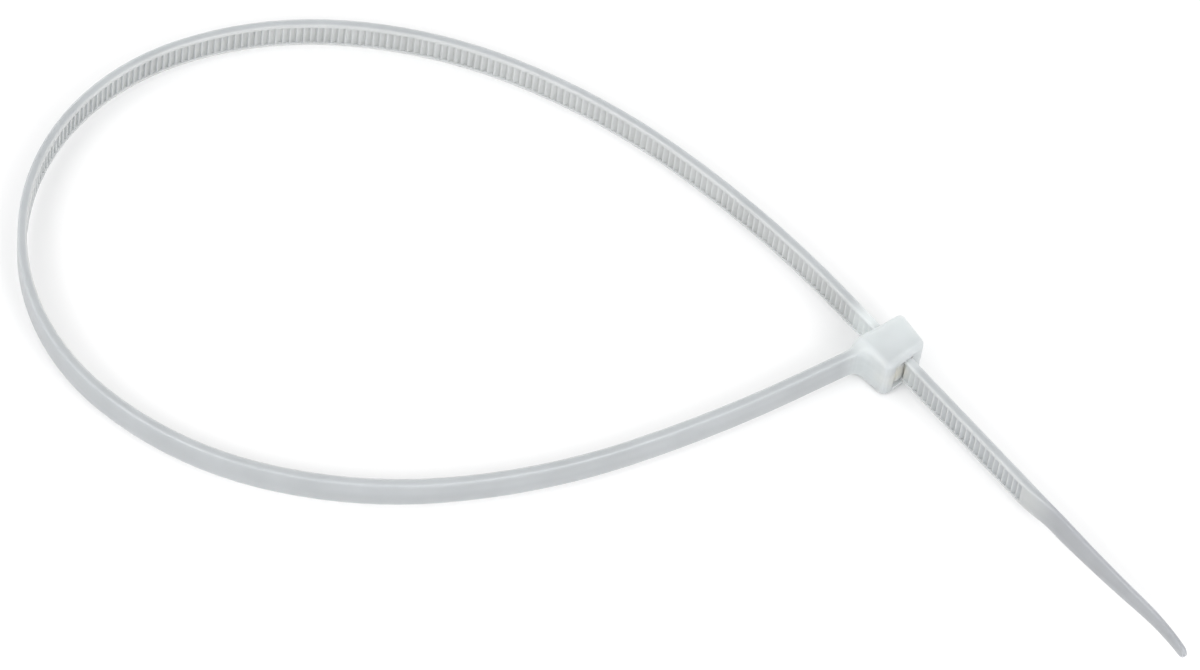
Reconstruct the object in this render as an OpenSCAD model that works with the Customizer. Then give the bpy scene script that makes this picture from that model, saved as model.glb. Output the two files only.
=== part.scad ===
// Cable tie, closed into a loose loop: one moulding, from the head along the
// toothed strap, round the loop, back through the head and out to the tip.
// All sizes are in millimetres.
//
// The origin is the centre of the loop's round end, halfway up the strap's
// width. +X runs towards the head, and +Z along the strap's width.

/* [Strap] */
// Width of the strap, the size that a tie is sold by
strap_w = 5.0; // [4.2:0.1:5.4]
// Thickness over the side rails
strap_t = 1.4; // [1.3:0.05:1.6]
// Radius on the strap's four long edges
strap_edge_r = 0.32; // [0.15:0.01:0.5]

/* [Rack] */
// Distance from one tooth to the next
tooth_pitch = 1.07; // [0.9:0.01:1.3]
// Width of the smooth rail on each side of the teeth
rail_w = 0.6; // [0.55:0.05:0.8]
// Depth of the tooth roots under the rails
root_depth = 0.42; // [0.36:0.02:0.56]
// Depth of the tooth tips under the rails
tip_depth = 0.1; // [0.04:0.02:0.16]
// Smooth strap between the head's middle and the first tooth
rack_start = 8; // [7:0.5:14]

/* [Loop] */
// Radius of the bundle that the round end is curled to
bundle_r = 38.7; // [34:0.1:44]
// Angle of strap that lies on that bundle
bundle_wrap = 112; // [110:1:116]
// Radii of the curve as it opens out from the round end towards the head
opening_r = [53.3, 69.8, 101.5];
// Angle turned through at each of those radii
opening_turn = [28, 22, 16];
// Radius of the last bend of the leg that runs to the slot
free_bend_r = 171; // [140:1:200]
// Angle of that bend
free_bend_turn = 12.2; // [11:0.1:13]
// Radius of the last bend of the leg that grows from the head
root_bend_r = 220; // [190:1:250]
// Angle of that bend
root_bend_turn = 7.4; // [6.5:0.1:8.5]

/* [Tail] */
// Toothed strap past the head's middle
tail_rack = 32.5; // [20:0.5:60]
// Length of the ramp from the strap's thickness to the tail's
tail_ramp = 6; // [3:0.2:8]
// Smooth tail from the ramp to the tip
tail_len = 28.8; // [24:0.1:40]
// Thickness of the tail
tail_t = 0.75; // [0.6:0.05:1.1]
// Full-width tail before the taper starts
tail_parallel = 2.4; // [0:0.2:6]
// Width just before the rounded tip
tail_tip_w = 2.4; // [1.6:0.1:3]
// Angle of the tail's first, outward bend
tail_out_turn = 4; // [1:0.5:8]
// Angle of the droop at its tip, the other way
tail_tip_turn = 13.5; // [1:0.5:25]
// Length of that droop
tail_tip_len = 10; // [8:0.5:16]

/* [Head] */
// Width of the head, along the strap's width
head_w = 7.9; // [7.4:0.1:9]
// Nose side of the head, from the middle of the slot
head_nose = 4.0; // [3.6:0.1:4.6]
// Root side of the head at its entry face, and at its exit face
head_root = [5.1, 3.65];
// Height of the entry face before the root's middle, on the root and nose side
head_entry = [1.35, 2.0];
// Height of the exit face past the root's middle, on the root and nose side
head_exit = [5.95, 4.6];
// Rounding of all the head's edges
head_edge_r = 1.05; // [0.7:0.05:1.2]
// Length over which the strap's root flows out into the head
head_blend = 2.1; // [1.2:0.1:2.4]

/* [Slot and pawl] */
// Gap between the strap and the slot, all round
slot_gap = 0.15; // [0.12:0.01:0.3]
// Gap between the pawl's teeth and the rack
mesh_gap = 0.06; // [0.05:0.01:0.1]
// Number of teeth on the pawl
pawl_teeth = 3; // [2:1:3]
// Width of the pawl behind its teeth
pawl_w = 3.8; // [3.6:0.1:4.2]
// Gap between the pawl's teeth and the rails
pawl_rail_gap = 0.15; // [0.1:0.05:0.25]
// Thickness of the pawl at its free end, and at its hinge
pawl_t = [1.2, 0.7];
// Depth of the pawl's free end below the exit face
pawl_sunk = 0.25; // [0.15:0.05:0.9]
// Open space behind the pawl at its free end, which lets it spring back
pocket_t = 0.55; // [0.45:0.05:1.2]
// Height of the pocket's floor, where the pawl is hinged, over the root's middle
pocket_floor = 0.75; // [0.7:0.05:1]

/* [Hidden] */

// Each piece of the strap is let into the next by lap, and every second one
// is smaller all round by lap_step, so that no two share a face.
lap = 0.3;
lap_step = 0.01;

// A pose is [x, y, heading], and a piece of the strap's middle line is
// [length, turn], where a turn to the right is negative.
function bend(r, turn) = [r*abs(turn)*PI/180, turn];
function bend_r(piece) = piece[0]/(piece[1]*PI/180);
function step(p, piece, len) =
    piece[1] == 0
    ? [p[0] + len*cos(p[2]), p[1] + len*sin(p[2]), p[2]]
    : let (turned = p[2] + piece[1]*len/piece[0], r = bend_r(piece))
      [p[0] + r*(sin(turned) - sin(p[2])), p[1] - r*(cos(turned) - cos(p[2])), turned];
function walk(p, pieces) =
    [for (i = 0, q = p; i <= len(pieces);
          q = i < len(pieces) ? step(q, pieces[i], pieces[i][0]) : q, i = i + 1) q];
function length_of(pieces, i = 0) =
    i < len(pieces) ? pieces[i][0] + length_of(pieces, i + 1) : 0;

// The middle line starts at the head's middle and runs out along the root.
mid_r = bundle_r + strap_t/2;
opening = [for (i = [0:len(opening_r) - 1]) bend(opening_r[i], -opening_turn[i])];
closing = [for (i = [len(opening) - 1:-1:0]) opening[i]];
loop_bends = concat([bend(root_bend_r, -root_bend_turn)], closing,
    [bend(mid_r, -bundle_wrap)], opening, [bend(free_bend_r, -free_bend_turn)]);
round_end = len(closing) + 2;

// The legs' straight ends are as long as it takes for their lines to meet.
open_end = walk([0, 0, 0], loop_bends)[len(loop_bends)];
free_straight = -open_end[1]/sin(open_end[2]);
root_straight = -open_end[0] - free_straight*cos(open_end[2]);

loop_len = root_straight + length_of(loop_bends) + free_straight;
rack_end = loop_len + tail_rack;
tip_at = rack_end + tail_ramp + tail_len;
tail_out_len = tail_len - tail_tip_len;
path = concat([[root_straight, 0]], loop_bends,
    [[free_straight + tail_rack + tail_ramp, 0],
     [tail_out_len, tail_out_turn], [tail_tip_len, -tail_tip_turn]]);
last_full = len(loop_bends) + 1;

// Start pose that puts the round end's centre on the origin
free_poses = walk([0, 0, 0], path);
far_side = step(free_poses[round_end], path[round_end], path[round_end][0]/2);
swing = 90 - far_side[2];
centre = [far_side[0] + mid_r*sin(far_side[2]), far_side[1] - mid_r*cos(far_side[2])];
start = [-centre[0]*cos(swing) + centre[1]*sin(swing),
    -centre[0]*sin(swing) - centre[1]*cos(swing), swing];
poses = walk(start, path);
starts = [for (i = 0, s = 0; i < len(path); s = s + path[i][0], i = i + 1) s];

// Pose at length s along the strap, and the point beside it at offset d, where
// +d is towards the outer face and -d towards the rack
function piece_at(s, i = 0) =
    i == len(path) - 1 || s < starts[i + 1] ? i : piece_at(s, i + 1);
function pose_at(s) = let (i = piece_at(s)) step(poses[i], path[i], s - starts[i]);
function beside(p, d) = [p[0] - d*sin(p[2]), p[1] + d*cos(p[2])];
function strap_point(s, d) = beside(pose_at(s), d);

// Rounded rectangle from offset d0 to d1, of width w
function corner(x, y, r, a0) = [for (a = [0:30:90]) [x + r*cos(a0 + a), y + r*sin(a0 + a)]];
function section(d0, d1, w, r) = concat(
    corner(d1 - r, w/2 - r, r, 0), corner(d0 + r, w/2 - r, r, 90),
    corner(d0 + r, r - w/2, r, 180), corner(d1 - r, r - w/2, r, 270));

// One tooth as [share of the pitch, depth]: the steep flank faces the root,
// and stops the strap from sliding back out of the head.
rack_tooth = [[0, root_depth], [0.08, tip_depth], [0.24, tip_depth], [0.8, root_depth]];
rack_teeth = floor((rack_end - rack_start)/tooth_pitch);
function tooth_at(k) = rack_start + k*tooth_pitch;
function rack_d(depth) = depth - strap_t/2;

module place(p) {
    translate([p[0], p[1], 0]) rotate(p[2]) children();
}

// One piece of the strap, from length s0 to s1 of that piece
module strap_piece(i, s0, s1, inset) {
    piece = path[i];
    outline = section(inset - strap_t/2, strap_t/2 - inset, strap_w - 2*inset, strap_edge_r);
    if (piece[1] == 0)
        place(poses[i]) translate([s0, 0, 0]) rotate([90, 0, 90])
            linear_extrude(height = s1 - s0) polygon(outline);
    else {
        r = abs(bend_r(piece));
        place(poses[i]) translate([0, -r, 0]) rotate(90 - s1/r*180/PI)
            rotate_extrude(angle = (s1 - s0)/r*180/PI, $fn = 256)
                translate([r, 0]) polygon(outline);
    }
}

// What is cut away between the rails, down to the saw-tooth line of the rack
module rack_cut() {
    clear = rack_d(-0.4);
    saw = [for (k = [0:rack_teeth - 1], t = rack_tooth)
        strap_point(tooth_at(k) + t[0]*tooth_pitch, rack_d(t[1]))];
    far_end = [for (depth = [root_depth, -0.4]) strap_point(tooth_at(rack_teeth), rack_d(depth))];
    air = [for (k = [rack_teeth - 1:-4:1]) strap_point(tooth_at(k), clear)];
    linear_extrude(height = strap_w - 2*rail_w, center = true)
        polygon(concat(saw, far_end, air, [strap_point(tooth_at(0), clear)]));
}

// The smooth tail is lofted through sections that thin, narrow and round off.
tip_r = tail_tip_w/2;
taper_at = rack_end + tail_ramp + tail_parallel;
round_at = tip_at - tip_r;
function ease(t) = let (c = min(max(t, 0), 1)) c*c*(3 - 2*c);
function tail_width(s) =
    s < taper_at ? strap_w
    : s < round_at ? strap_w + (tail_tip_w - strap_w)*(s - taper_at)/(round_at - taper_at)
    : 2*sqrt(tip_r*tip_r - pow(s - round_at, 2));
function tail_thick(s) = strap_t + (tail_t - strap_t)*ease((s - rack_end)/tail_ramp);
function ring(s) =
    let (w = tail_width(s) - 4*lap_step, t = tail_thick(s) - 4*lap_step,
         r = min(strap_edge_r, 0.4*min(w, t)), outer = strap_t/2 - 2*lap_step,
         p = pose_at(s))
    [for (c = section(outer - t, outer, w, r)) let (q = beside(p, c[0])) [q[0], q[1], c[1]]];
tail_cuts = concat([rack_end - lap, rack_end],
    [for (i = [1:8]) rack_end + tail_ramp*i/8],
    [for (i = [0:16]) taper_at + (round_at - taper_at)*i/16],
    [for (a = [15:15:75]) round_at + tip_r*sin(a)], [tip_at - 0.01]);

// Skin over a stack of rings that have the same number of points
module loft(rings) {
    n = len(rings[0]);
    last = len(rings) - 1;
    sides = [for (j = [0:last - 1], i = [0:n - 1])
        let (a = j*n + i, b = j*n + (i + 1)%n)
        each [[a, b + n, b], [a, a + n, b + n]]];
    polyhedron(points = [for (q = rings) each q], convexity = 4,
        faces = concat([[for (i = [0:n - 1]) i]], sides,
            [[for (i = [n - 1:-1:0]) last*n + i]]));
}

module tail() {
    loft([for (s = tail_cuts) ring(s)]);
}

module strap() {
    difference() {
        for (i = [0:last_full]) {
            let_in = i%2 == 0;
            s0 = i == 0 ? head_root[1] : let_in ? -lap : 0;
            s1 = i == last_full ? path[i][0] - tail_ramp : path[i][0] + (let_in ? lap : 0);
            strap_piece(i, s0, s1, let_in ? lap_step : 0);
        }
        rack_cut();
    }
    tail();
}

// The head is drawn on the root's line: x runs from its middle towards the
// root, and y from its entry face to its exit face.
head_corners = [[-head_nose, -head_entry[1]], [head_root[0], -head_entry[0]],
    [head_root[1], head_exit[0]], [-head_nose, head_exit[1]]];
function unit(v) = v/norm(v);

// Distance outside each side of the head, outside the rounded head, outside
// the root, and outside the two of them blended together. The blend fades out
// towards the head's flat sides, which stay flat.
root_sunk = 0.04;
root_end = head_root[0] + head_blend;
function past_side(i, x, y) =
    let (a = head_corners[i], b = head_corners[(i + 1)%4]) cross([x, y] - a, unit(b - a));
function outside(sides, r) = norm([for (d = sides) max(d + r, 0)]) - r;
function outside_block(x, y, z) = outside(
    [max(past_side(1, x, y), past_side(3, x, y)),
     max(past_side(0, x, y), past_side(2, x, y)), abs(z) - head_w/2], head_edge_r);
function outside_root(x, y, z) = max(head_root[1] - x, x - root_end, outside(
    [abs(y) - strap_t/2 + root_sunk, abs(z) - strap_w/2 + root_sunk], strap_edge_r));
function outside_head(x, y, z) =
    let (a = outside_block(x, y, z), b = outside_root(x, y, z),
         near = max(1 - abs(a - b)/head_blend, 0),
         fade = ease((head_w/2 - abs(z))/head_edge_r))
    min(a, b) - fade*near*near*head_blend/4;

// How far the head reaches from its middle at an angle, by halving
function reach(angle, z, near = 0, far = 2*head_root[0], tries = 16) =
    let (r = (near + far)/2)
    tries == 0 ? r
    : outside_head(r*cos(angle), r*sin(angle), z) < 0.0005 ? reach(angle, z, r, far, tries - 1)
    : reach(angle, z, near, r, tries - 1);

module head_block() {
    // The rays stand closer together where the root and the corners are.
    angles = concat([for (a = [-30:2.5:30]) a], [for (a = [38:8:46]) a],
        [for (a = [50:4:70]) a], [for (a = [78:8:118]) a], [for (a = [122:4:142]) a],
        [for (a = [150:8:190]) a], [for (a = [196:4:220]) a], [for (a = [228:10:318]) a]);
    low = strap_w/2 - strap_edge_r;
    high = head_w/2 - head_edge_r;
    half = concat([for (i = [0:7]) low + (high - low)*i/7],
        [for (a = [15:15:90]) high + head_edge_r*sin(a)]);
    heights = concat([for (i = [len(half) - 1:-1:0]) -half[i]], half);
    loft([for (z = heights) [for (a = angles) let (r = reach(a, z)) [r*cos(a), r*sin(a), z]]]);
}

// The slot is drawn on the strap that passes through it: x runs along the
// strap towards the tip, and y away from the rack.
slot_pose = pose_at(loop_len);
slot_tilt = slot_pose[2] - poses[0][2] + 270;
slot_d = strap_t/2 + slot_gap;
exit_slope = (head_exit[0] - head_exit[1])/(head_root[1] + head_nose);
// Where a line at offset d comes out of the head's exit face
function exit_at(d) =
    (head_exit[1] + exit_slope*head_nose + d*(sin(slot_tilt) - exit_slope*cos(slot_tilt)))
    /(cos(slot_tilt) + exit_slope*sin(slot_tilt));
pawl_front = -slot_d - 0.02;
pawl_back = pawl_front - pawl_t[0];
pawl_end = exit_at(pawl_front) - pawl_sunk;
pocket_back = pawl_back - pocket_t;
beyond = 9;

module slot_and_pocket() {
    cube([2*beyond, 2*slot_d, strap_w + 2*slot_gap], center = true);
    linear_extrude(height = strap_w + 2*slot_gap, center = true)
        polygon([[pocket_floor, 0], [pocket_floor, pawl_front - pawl_t[1] - 0.5],
            [pawl_end/2, pocket_back], [beyond, pocket_back], [beyond, 0]]);
}

module pawl() {
    buried = pocket_floor - 0.4;
    linear_extrude(height = pawl_w, center = true)
        polygon([[buried, pawl_front], [pawl_end, pawl_front], [pawl_end, pawl_back + 0.3],
            [pawl_end - 0.3, pawl_back], [pawl_end/2, pawl_back],
            [pocket_floor, pawl_front - pawl_t[1]], [buried, pawl_front - pawl_t[1]]]);
    // The teeth follow the rack's own line, moved off it by the gap, out to the
    // pawl's free end.
    last = ceil((loop_len + pawl_end - rack_start)/tooth_pitch);
    line = [for (k = [last - pawl_teeth - 1:last], t = rack_tooth)
        [tooth_at(k) + t[0]*tooth_pitch - loop_len - mesh_gap, rack_d(t[1]) - 2*mesh_gap]];
    back = pawl_front - 0.2;
    meshed_len = pawl_teeth*tooth_pitch;
    linear_extrude(height = strap_w - 2*rail_w - 2*pawl_rail_gap, center = true)
        intersection() {
            polygon(concat(line, [[line[len(line) - 1][0], back], [line[0][0], back]]));
            translate([pawl_end - meshed_len, back]) square([meshed_len, strap_t]);
        }
}

module head() {
    difference() {
        place(poses[0]) head_block();
        place(slot_pose) slot_and_pocket();
    }
    place(slot_pose) pawl();
}

module cable_tie() {
    color("gainsboro") {
        strap();
        head();
    }
}

cable_tie();
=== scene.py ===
# %% [markdown]
# # A cable tie in a loose loop
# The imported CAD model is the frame: it already has the strap, its saw-tooth
# rack, the head with its slot and pawl, and the tapered tail, all as one
# moulding. This script gives it the look of natural nylon, a table to lie on,
# the light and the camera.

# %% Load the frame
from math import cos, radians, sin

import bpy
from mathutils import Matrix, Vector


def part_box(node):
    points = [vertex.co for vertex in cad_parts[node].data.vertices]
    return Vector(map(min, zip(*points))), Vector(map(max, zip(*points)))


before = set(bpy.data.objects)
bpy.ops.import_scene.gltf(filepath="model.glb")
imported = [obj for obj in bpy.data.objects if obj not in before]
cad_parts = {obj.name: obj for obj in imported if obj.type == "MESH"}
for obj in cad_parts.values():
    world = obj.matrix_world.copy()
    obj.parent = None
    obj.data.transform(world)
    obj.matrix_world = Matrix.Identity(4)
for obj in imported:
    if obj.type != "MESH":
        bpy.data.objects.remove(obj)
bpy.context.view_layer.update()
MM = 0.001
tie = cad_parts["cable_tie"]
print("the tie has", len(tie.data.polygons), "faces")

# %% [markdown]
# ## The camera
# The tie was photographed from well above, through a long lens, which is why
# the near and far sides of the loop look almost equally large. The camera's
# place and turn come from matching the rack's even teeth round the loop, and
# then from small shifts that fit the outline.

# %% Put the camera where the photograph was taken
CAMERA_AT = Vector((47.8, -574.8, 778.1)) * MM
LOOKS_DOWN = radians(53.894)
ROLL = radians(-8.89)
LENS = 195.4
SENSOR_WIDTH = 36
NEAREST = 0.05
FARTHEST = 20

camera_data = bpy.data.cameras.new("camera")
camera_data.lens = LENS
camera_data.sensor_width = SENSOR_WIDTH
camera_data.clip_start = NEAREST
camera_data.clip_end = FARTHEST
camera = bpy.data.objects.new("camera", camera_data)
bpy.context.scene.collection.objects.link(camera)
bpy.context.scene.camera = camera

forward = Vector((0, cos(LOOKS_DOWN), -sin(LOOKS_DOWN)))
level_right = Vector((1, 0, 0))
level_down = Vector((0, -sin(LOOKS_DOWN), -cos(LOOKS_DOWN)))
right = cos(ROLL) * level_right + sin(ROLL) * level_down
up = sin(ROLL) * level_right - cos(ROLL) * level_down
turn = Matrix((right, up, -forward)).transposed()
camera.matrix_world = Matrix.Translation(CAMERA_AT) @ turn.to_4x4()
print("the camera looks along", [round(v, 3) for v in forward])


# %% [markdown]
# ## The table and the light
# A white table under a white sky and two soft lamps leaves almost no shadow, so
# the tie is seen by its own edges. The lamps stand left and right of the
# camera, and they put the bright lines on the rounded edges.

# %% A linear colour from a hex value
def linear(hex_colour):
    values = [int(hex_colour[i:i + 2], 16) / 255 for i in (0, 2, 4)]
    return [v / 12.92 if v <= 0.04045 else ((v + 0.055) / 1.055) ** 2.4 for v in values] + [1]


# %% One function for every node
def add_node(tree, kind, settings=None, **links):
    """Adds a node. A link whose value is a socket is joined, and any other is set."""
    node = tree.nodes.new(kind)
    for name, value in (settings or {}).items():
        setattr(node, name, value)
    for name, value in links.items():
        socket = node.inputs[int(name[1:]) if name[0] == "_" else name.replace("_", " ")]
        if isinstance(value, bpy.types.NodeSocket):
            tree.links.new(value, socket)
        else:
            socket.default_value = value
    return node


# %% The table
TABLE_SIZE = 4
TIE_MIDDLE = Vector((0.05, 0, 0))
table_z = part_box("cable_tie")[0].z
bpy.ops.mesh.primitive_plane_add(size=TABLE_SIZE, location=(TIE_MIDDLE.x, TIE_MIDDLE.y, table_z))
table = bpy.context.object
table.name = "table"
white_table = bpy.data.materials.new("white_table")
white_table.use_nodes = True
paint = white_table.node_tree.nodes["Principled BSDF"]
for socket, value in (("Base Color", linear("f5f5f5")), ("Roughness", 0.9),
                      ("Specular IOR Level", 0.1)):
    paint.inputs[socket].default_value = value
table.data.materials.append(white_table)
print("the table stands at", round(table_z / MM, 2), "mm")

# %% The lamps
LAMP_OUT = 0.9
LAMP_UP = 0.95
LAMP_SIZE = 0.9
LAMP_POWER = 7.5
for name, side in (("left_softbox", -0.85), ("right_softbox", 0.95)):
    lamp = bpy.data.lights.new(name, "AREA")
    lamp.shape = "DISK"
    lamp.size = LAMP_SIZE
    lamp.energy = LAMP_POWER
    holder = bpy.data.objects.new(name, lamp)
    bpy.context.scene.collection.objects.link(holder)
    holder.location = (side, -LAMP_OUT, LAMP_UP)
    aim = TIE_MIDDLE - holder.location
    holder.rotation_euler = aim.to_track_quat("-Z", "Y").to_euler()

world = bpy.data.worlds.new("studio")
world.use_nodes = True
sky = world.node_tree.nodes["Background"]
sky.inputs["Color"].default_value = linear("ffffff")
sky.inputs["Strength"].default_value = 1.0
bpy.context.scene.world = world
bpy.context.scene.view_settings.view_transform = "Standard"

# %% [markdown]
# ## Natural nylon: where it is thick and where it is thin
# Natural polyamide 6.6 has no pigment. Its crystals scatter light inside it,
# so a thick head looks milky white, while light passes through the thin strap
# and thinner tail and leaves them greyer. Here light scatters over a few
# millimetres, and the colour is also set darker where the part is thinner. The
# colours were tuned until the render's tones came near the photograph's.

# %% Masks for the head, the pawl's end and the tail
HEAD_MIDDLE = Vector((89.7, -1.1, 0)) * MM
PAWL_END = Vector((91.3, -5.2, 0)) * MM
TAIL_STARTS = 113 * MM
TAIL_FULL = 118 * MM
SMOOTH = {"interpolation_type": "SMOOTHSTEP"}

nylon = bpy.data.materials.new("natural_nylon_moulded")
nylon.use_nodes = True
tree = nylon.node_tree
skin = tree.nodes["Principled BSDF"]
place = add_node(tree, "ShaderNodeTexCoord").outputs["Object"]
parts = add_node(tree, "ShaderNodeSeparateXYZ", Vector=place).outputs

round_masks = []
for middle, inner, outer in ((HEAD_MIDDLE, 4, 9), (PAWL_END, 0.8, 3.2)):
    away = add_node(tree, "ShaderNodeVectorMath", {"operation": "DISTANCE"},
                    _0=place, _1=middle).outputs["Value"]
    round_masks.append(add_node(tree, "ShaderNodeMapRange", SMOOTH, Value=away,
                                From_Min=inner * MM, From_Max=outer * MM,
                                To_Min=1, To_Max=0).outputs["Result"])
# Near the pawl's end the colour gets a warm tint and painted light that makes it paler than the
# head.
in_head, at_pawl = round_masks
in_tail = add_node(tree, "ShaderNodeMapRange", SMOOTH, Value=parts["X"], From_Min=TAIL_STARTS,
                   From_Max=TAIL_FULL, To_Min=0, To_Max=1).outputs["Result"]

# %% The toothed side
# The rack's small shadows make it render darker than in the photograph, so its
# side gets a slightly lighter colour to make up for that. It is the side whose
# faces look towards the middle of the loop.
LOOP_MIDDLE = Vector((30, 0, 0)) * MM
FACING_IN = -0.4
outward = add_node(tree, "ShaderNodeVectorMath", {"operation": "SUBTRACT"},
                   _0=place, _1=LOOP_MIDDLE).outputs["Vector"]
outward = add_node(tree, "ShaderNodeVectorMath", {"operation": "NORMALIZE"},
                   _0=outward).outputs["Vector"]
facing = add_node(tree, "ShaderNodeNewGeometry").outputs["Normal"]
facing_out = add_node(tree, "ShaderNodeVectorMath", {"operation": "DOT_PRODUCT"},
                      _0=facing, _1=outward).outputs["Value"]
toothed = add_node(tree, "ShaderNodeMapRange", SMOOTH, Value=facing_out, From_Min=FACING_IN,
                   From_Max=0, To_Min=1, To_Max=0).outputs["Result"]

# %% The colours
OUTER_SIDE = linear("a0a3a6")
TOOTHED_SIDE = linear("aaacad")
TAIL = linear("86888d")
HEAD = linear("c6cbcc")
# The pawl's end has a warm tint, and it is painted paler than the head: painted light that fills
# the shade in the gap around the pawl.
PAWL_TINT_AND_PAINTED_LIGHT = linear("dfdccd")
COLOURS = {"data_type": "RGBA"}
head_colour = add_node(tree, "ShaderNodeMix", COLOURS, _0=at_pawl, _6=HEAD, _7=PAWL_TINT_AND_PAINTED_LIGHT).outputs[2]
colour = OUTER_SIDE
for share, over in ((toothed, TOOTHED_SIDE), (in_tail, TAIL), (in_head, head_colour)):
    colour = add_node(tree, "ShaderNodeMix", COLOURS, _0=share, _6=colour, _7=over).outputs[2]

# %% [markdown]
# ## Natural nylon: its surface
# A moulded tie has a smooth, satin skin. It gets faint clouds and soft flow
# lines that run along the strap, at the same height all round the loop. The
# photograph shows neither clearly, so both are a guess and are kept faint.

# %% Patterns, with the size of their patches in millimetres
CLOUD = 7.0
FLOW_LINE = 0.9
FLOW_LENGTH = 40.0
GLOSS_PATCH = 5.0
GRAIN = 0.35
stretch = FLOW_LINE / FLOW_LENGTH
flow_place = add_node(tree, "ShaderNodeVectorMath", {"operation": "MULTIPLY"},
                      _0=place, _1=(stretch, stretch, 1)).outputs["Vector"]
patterns = [add_node(tree, "ShaderNodeTexNoise", Vector=where, Scale=1 / (size * MM),
                     Detail=detail).outputs["Fac"]
            for size, detail, where in ((CLOUD, 2, place), (FLOW_LINE, 0, flow_place),
                                        (GLOSS_PATCH, 1, place), (GRAIN, 2, place))]
clouds, flow, gloss_patches, grain = patterns

# %% Clouds and flow lines in the colour
NOISE_LOW = 0.3
NOISE_HIGH = 0.7
for pattern, depth in ((clouds, 0.04), (flow, 0.015)):
    shade = add_node(tree, "ShaderNodeMapRange", Value=pattern, From_Min=NOISE_LOW,
                     From_Max=NOISE_HIGH, To_Min=1 - depth, To_Max=1 + depth).outputs["Result"]
    colour = add_node(tree, "ShaderNodeVectorMath", {"operation": "SCALE"},
                      _0=colour, Scale=shade).outputs["Vector"]
tree.links.new(colour, skin.inputs["Base Color"])

# %% Sheen and the finest relief
GLOSSIEST = 0.33
DULLEST = 0.37
RELIEF = 0.004
gloss = add_node(tree, "ShaderNodeMapRange", Value=gloss_patches, From_Min=NOISE_LOW,
                 From_Max=NOISE_HIGH, To_Min=GLOSSIEST, To_Max=DULLEST).outputs["Result"]
tree.links.new(gloss, skin.inputs["Roughness"])
bump = add_node(tree, "ShaderNodeBump", Height=grain, Strength=0.5,
                Distance=RELIEF * MM).outputs["Normal"]

# %% The strap's slight crown
# The photograph shades the strap's flat sides as if they were slightly domed.
# The solid is flat there, so the dome is only in the shading, and its height is
# a guess. The relief falls with the square of the distance from the middle.
CROWN = 0.22
HALF_STRAP = 2.5
half_share = add_node(tree, "ShaderNodeMath", {"operation": "DIVIDE"}, _0=parts["Z"],
                      _1=HALF_STRAP * MM).outputs["Value"]
on_strap = add_node(tree, "ShaderNodeMath", {"operation": "SUBTRACT"}, _0=1.0,
                    _1=in_head).outputs["Value"]
fall = half_share
for factor in (half_share, on_strap):
    fall = add_node(tree, "ShaderNodeMath", {"operation": "MULTIPLY"}, _0=fall,
                    _1=factor).outputs["Value"]
bump = add_node(tree, "ShaderNodeBump", Height=fall, Strength=1.0, Distance=-CROWN * MM,
                Normal=bump).outputs["Normal"]
tree.links.new(bump, skin.inputs["Normal"])

# %% The values that are the same all over
# Light that enters the nylon comes out up to a few millimetres away, a little
# less far for blue. That softens the small shadows in the rack and the slot.
for socket, value in (("IOR", 1.53), ("Subsurface Weight", 1),
                      ("Subsurface Radius", (1, 1, 0.95)), ("Subsurface Scale", 3.5 * MM)):
    skin.inputs[socket].default_value = value
tie.data.materials.clear()
tie.data.materials.append(nylon)
print("nylon:", len(tree.nodes), "nodes; clouds of", CLOUD, "mm, flow lines of", FLOW_LINE, "mm")
